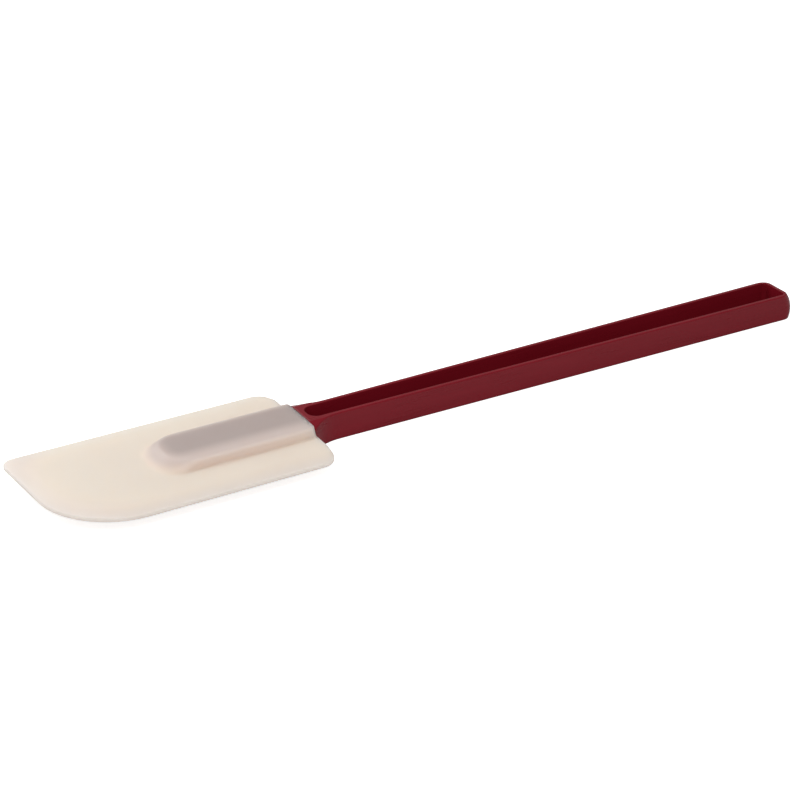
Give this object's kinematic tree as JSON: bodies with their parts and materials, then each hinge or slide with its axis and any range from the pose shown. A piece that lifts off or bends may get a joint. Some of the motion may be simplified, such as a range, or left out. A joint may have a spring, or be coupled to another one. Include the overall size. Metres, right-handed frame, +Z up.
{
  "type": "silicone spatula",
  "caption": "Long flat spatula with a stiff channel-section handle and a soft silicone blade that has a square corner, a wide swept corner and a raised boss over its tang.",
  "frame": {"origin": "midway along the whole length and across the blade, on the surface that the handle's flat back rests on", "axes": "+X along the spatula from the blade's tip towards the end of the grip, +Y across the blade towards its square corner, +Z up through the thickness, towards the open side of the handle's channel"},
  "size_m": [0.3526, 0.0656, 0.0118],
  "materials": {
    "handle_nylon": "semi-gloss moulded glass-filled nylon, dark red",
    "blade_silicone": "satin, slightly translucent off-white silicone"
  },
  "bodies": {
    "root": {"handle": "handle_nylon", "silicone_blade": "blade_silicone"}
  },
  "joints": []
}
